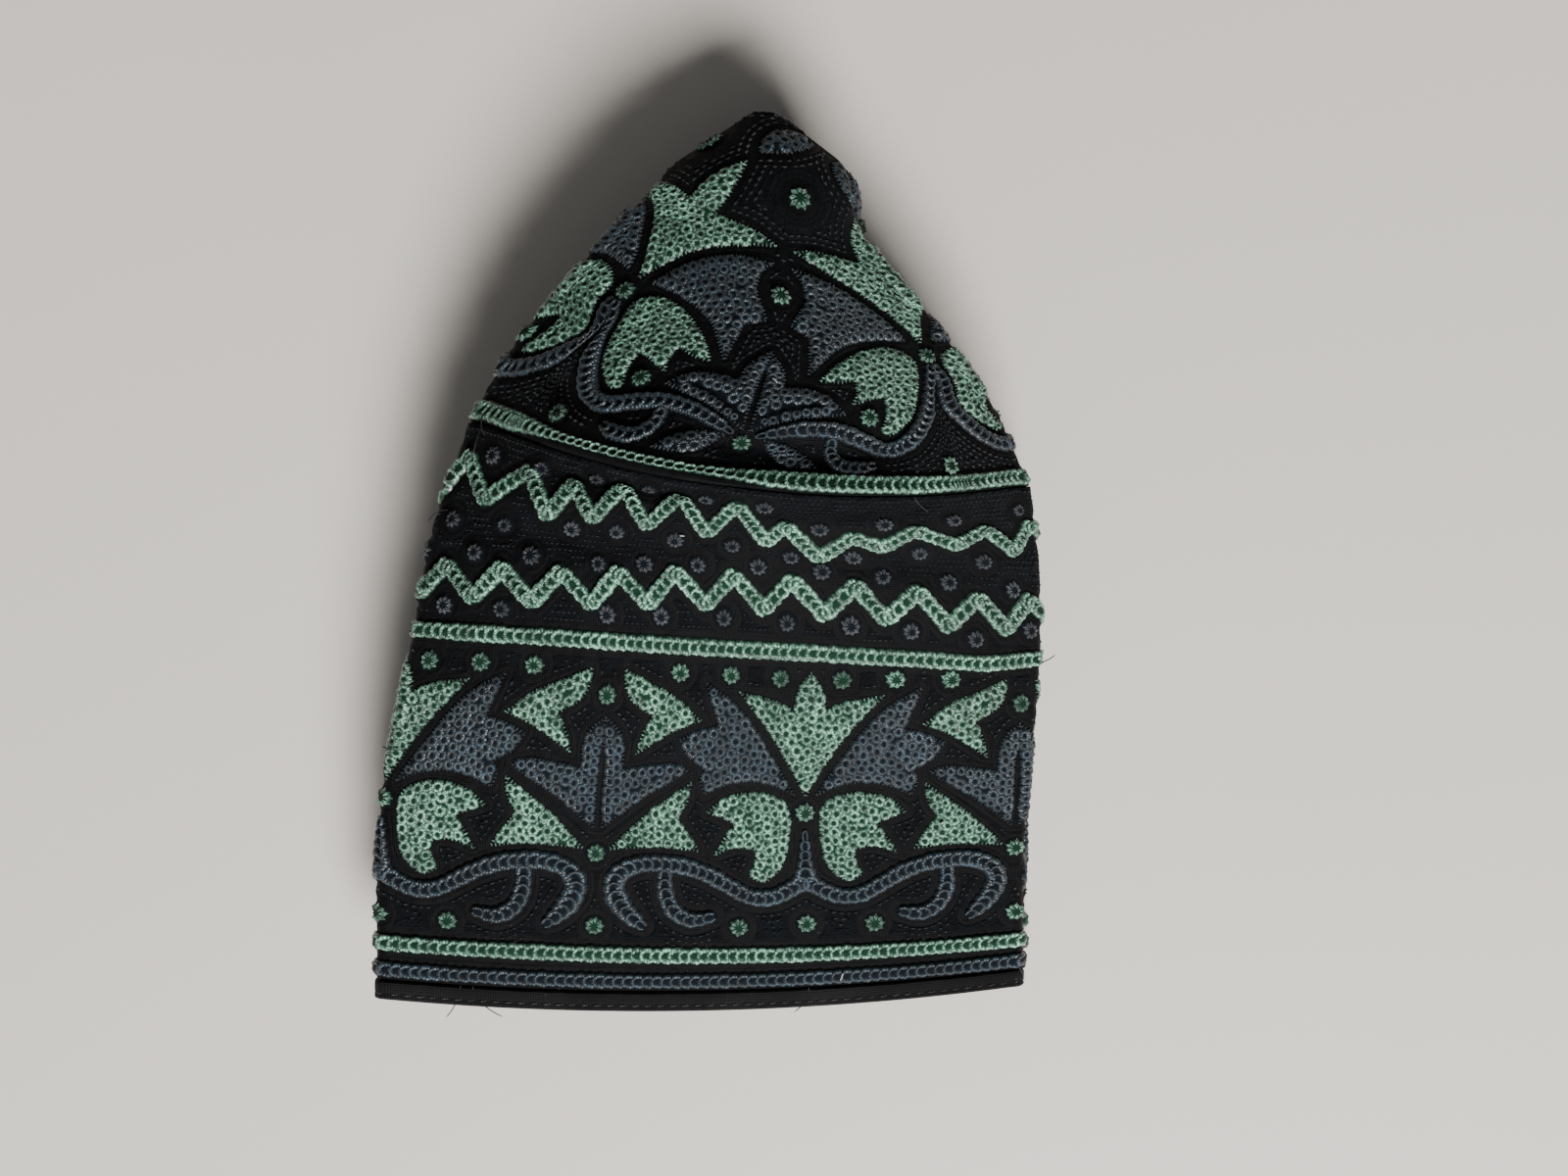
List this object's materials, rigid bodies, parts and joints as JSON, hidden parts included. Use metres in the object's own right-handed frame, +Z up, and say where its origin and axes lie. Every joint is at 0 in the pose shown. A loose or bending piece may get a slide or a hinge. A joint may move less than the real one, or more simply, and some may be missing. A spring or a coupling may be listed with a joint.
{
  "type": "kumma cap",
  "caption": "Round brimless cloth cap with a tall straight side, folded flat on its back with both sides tucked in and the top still domed.",
  "frame": {"origin": "middle of the folded cap's footprint, on the surface it lies on", "axes": "+Y from the open rim to the tip of the crown, +Z up away from the table, +X to the right of the front face seen from above"},
  "size_m": [0.1512, 0.1992, 0.0661],
  "materials": {
    "black_cloth": "corded black cotton with raised embroidery in pale green and slate blue",
    "hem_tape": "plain folded black cotton edge with a line of top stitching"
  },
  "bodies": {
    "root": {"crown": "black_cloth", "band": "black_cloth", "hem": "hem_tape"}
  },
  "joints": []
}
